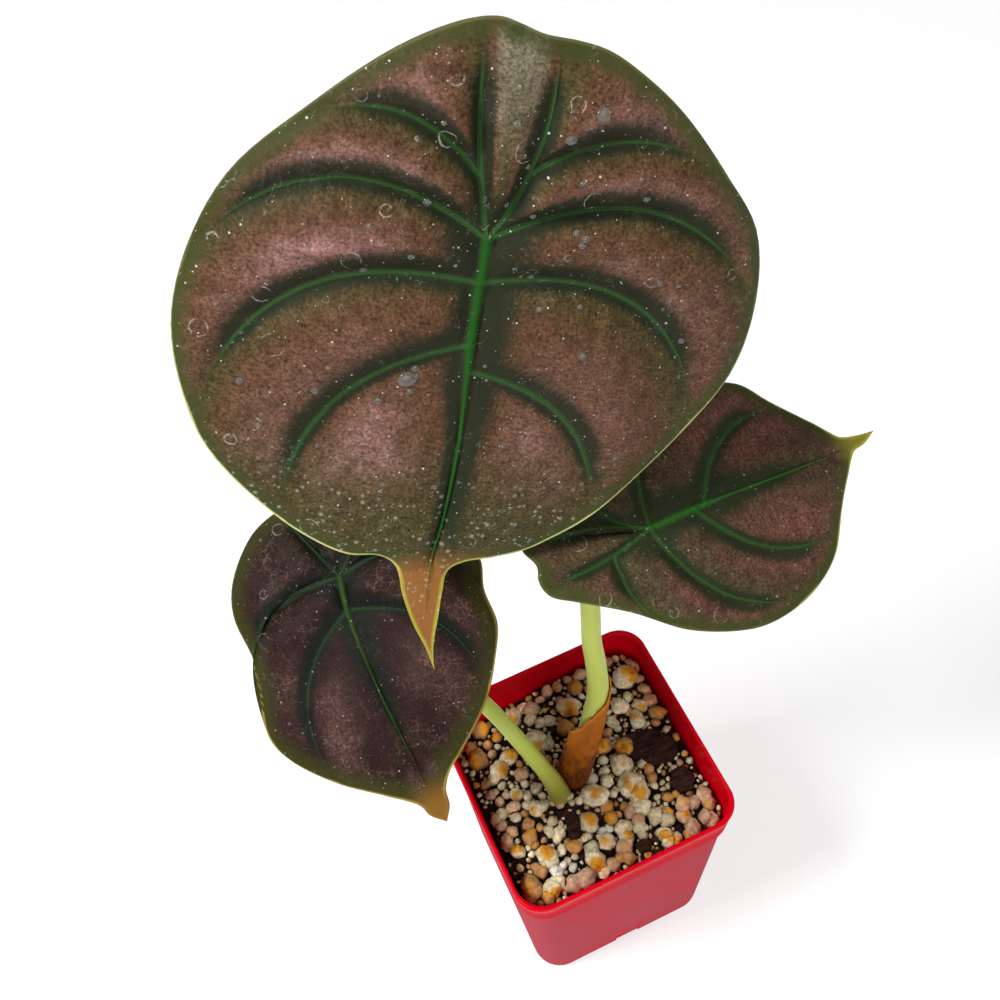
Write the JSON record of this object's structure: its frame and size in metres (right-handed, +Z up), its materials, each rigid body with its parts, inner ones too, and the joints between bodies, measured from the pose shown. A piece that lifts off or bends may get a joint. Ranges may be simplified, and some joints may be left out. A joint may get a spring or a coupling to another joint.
{
  "type": "potted alocasia plant",
  "caption": "Potted aroid house plant with quilted, shield-shaped coppery leaves on upright green petioles in a square nursery pot filled with gritty pumice mix.",
  "frame": {"origin": "centre of the pot's underside", "axes": "+Z up the plant, X and Y parallel to the pot's sides, -Y towards the side that the big leaf faces"},
  "size_m": [0.177, 0.0975, 0.3403],
  "materials": {
    "pot_plastic": "moulded polypropylene, vivid red, satin gloss",
    "potting_mix": "dark damp bark and peat grit",
    "pumice": "cream and pinkish porous pumice with rust-orange stains",
    "bark": "dark weathered fir bark",
    "petiole": "smooth waxy yellow-green stem",
    "dried_sheath": "dry papery brown sheath with orange edge",
    "leaf_bronze": "semi-gloss bronze and maroon leaf with green veins and margin",
    "leaf_maroon": "semi-gloss maroon-brown leaf with dark green veins",
    "leaf_dark": "semi-gloss dark purple-green leaf with ochre tip"
  },
  "bodies": {
    "root": {"pot": "pot_plastic", "potting_mix": "potting_mix", "pumice_bed": "pumice", "bark_chip_1": "bark", "bark_chip_2": "bark", "bark_chip_3": "bark", "bark_chip_4": "bark", "petiole_big": "petiole", "petiole_right": "petiole", "petiole_left": "petiole", "dried_sheath": "dried_sheath", "blade_big": "leaf_bronze", "blade_right": "leaf_maroon", "blade_left": "leaf_dark"}
  },
  "joints": []
}
